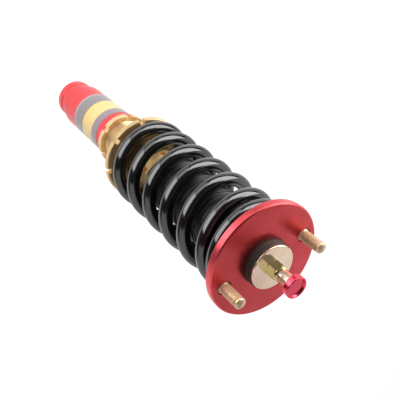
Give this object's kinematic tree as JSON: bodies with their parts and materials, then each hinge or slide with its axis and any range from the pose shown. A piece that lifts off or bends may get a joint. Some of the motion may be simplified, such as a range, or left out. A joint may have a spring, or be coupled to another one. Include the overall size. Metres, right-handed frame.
{
  "type": "coilover",
  "caption": "Adjustable coilover: threaded monotube damper in a coil spring, round studded top plate with rubber bush and damping knob, plain clamped spigot at the foot.",
  "frame": {"origin": "centre of the top plate's upper face, on the damper axis", "axes": "+Z along the damper axis, out through the rod end and the adjuster knob; +X the side that the picture looks at"},
  "size_m": [0.106, 0.106, 0.4175],
  "materials": {
    "anodised_red": "glossy red anodising",
    "knob_red": "satin red anodising",
    "anodised_gold": "satin gold anodising",
    "housing_cream": "pale gold anodising",
    "stud_zinc": "yellow zinc plating",
    "washer_zinc": "pale zinc plating",
    "nut_gold": "olive yellow zinc plating",
    "plain_steel": "bare steel",
    "rod_chrome": "hard chrome",
    "plain_aluminium": "machined",
    "bush_rubber": "matt moulded rubber",
    "boot_rubber": "matt moulded rubber",
    "stop_foam": "closed-cell foam",
    "band_plastic": "low-friction band",
    "spring_black": "gloss black powder coat",
    "sleeve_print": "printed film in plain bands"
  },
  "bodies": {
    "top_mount": {"mount_plate": "anodised_red", "stud_left": "stud_zinc", "stud_right": "stud_zinc", "bush_upper": "bush_rubber", "bush_lower": "bush_rubber", "bush_sleeve": "plain_steel", "bush_washer": "washer_zinc", "bump_cup": "plain_steel", "lock_nut": "nut_gold", "piston_rod": "rod_chrome", "clicker_housing": "housing_cream", "bump_stop": "stop_foam", "rebound_spacer": "plain_aluminium", "shims_upper": "plain_steel", "shims_lower": "plain_steel", "piston": "plain_aluminium", "piston_band": "band_plastic", "piston_nut": "plain_steel", "spring_isolator": "bush_rubber", "dust_boot": "boot_rubber"},
    "adjuster": {"adjuster_knob": "knob_red", "adjuster_needle": "plain_steel"},
    "damper": {"damper_body": "anodised_gold", "gland_nut": "anodised_gold", "rod_guide": "plain_aluminium", "rod_seal": "bush_rubber", "rod_wiper": "bush_rubber"},
    "gas_piston": {"gas_piston": "plain_aluminium", "gas_piston_ring": "bush_rubber"},
    "perch_ring": {"lock_ring_upper": "anodised_gold", "spring": "spring_black"},
    "perch": {"spring_perch": "anodised_gold"},
    "mount_ring": {"lock_ring_lower": "anodised_gold"},
    "fork_mount": {"lower_mount": "anodised_red", "label_sleeve": "sleeve_print"}
  },
  "joints": [
    {"name": "damper_stroke", "type": "slide", "parent": "top_mount", "child": "damper", "axis": [0, 0, 1], "range_m": [0, 0.074], "stiffness_N_per_m": 90000, "deforming": ["spring", "dust_boot"]},
    {"name": "rebound_knob_turn", "type": "hinge", "parent": "top_mount", "child": "adjuster", "pos_m": [0, 0, 0.034], "axis": [0, 0, 1], "range_deg": [-360, 360]},
    {"name": "gas_piston_float", "type": "slide", "parent": "damper", "child": "gas_piston", "axis": [0, 0, 1], "range_m": [-0.0095, 0]},
    {"name": "perch_height", "type": "slide", "parent": "damper", "child": "perch_ring", "axis": [0, 0, 1], "range_m": [-0.02, 0]},
    {"name": "perch_turn", "type": "hinge", "parent": "perch_ring", "child": "perch", "pos_m": [0, 0, -0.205], "axis": [0, 0, 1], "range_deg": [-180, 180]},
    {"name": "ride_height", "type": "slide", "parent": "damper", "child": "mount_ring", "axis": [0, 0, 1], "range_m": [-0.035, 0.005]},
    {"name": "fork_mount_turn", "type": "hinge", "parent": "mount_ring", "child": "fork_mount", "pos_m": [0, 0, -0.3], "axis": [0, 0, 1], "range_deg": [-180, 180]}
  ],
  "couplings": [
    {"joint": "gas_piston_float", "follows": "damper_stroke", "ratio": -0.1225}
  ]
}
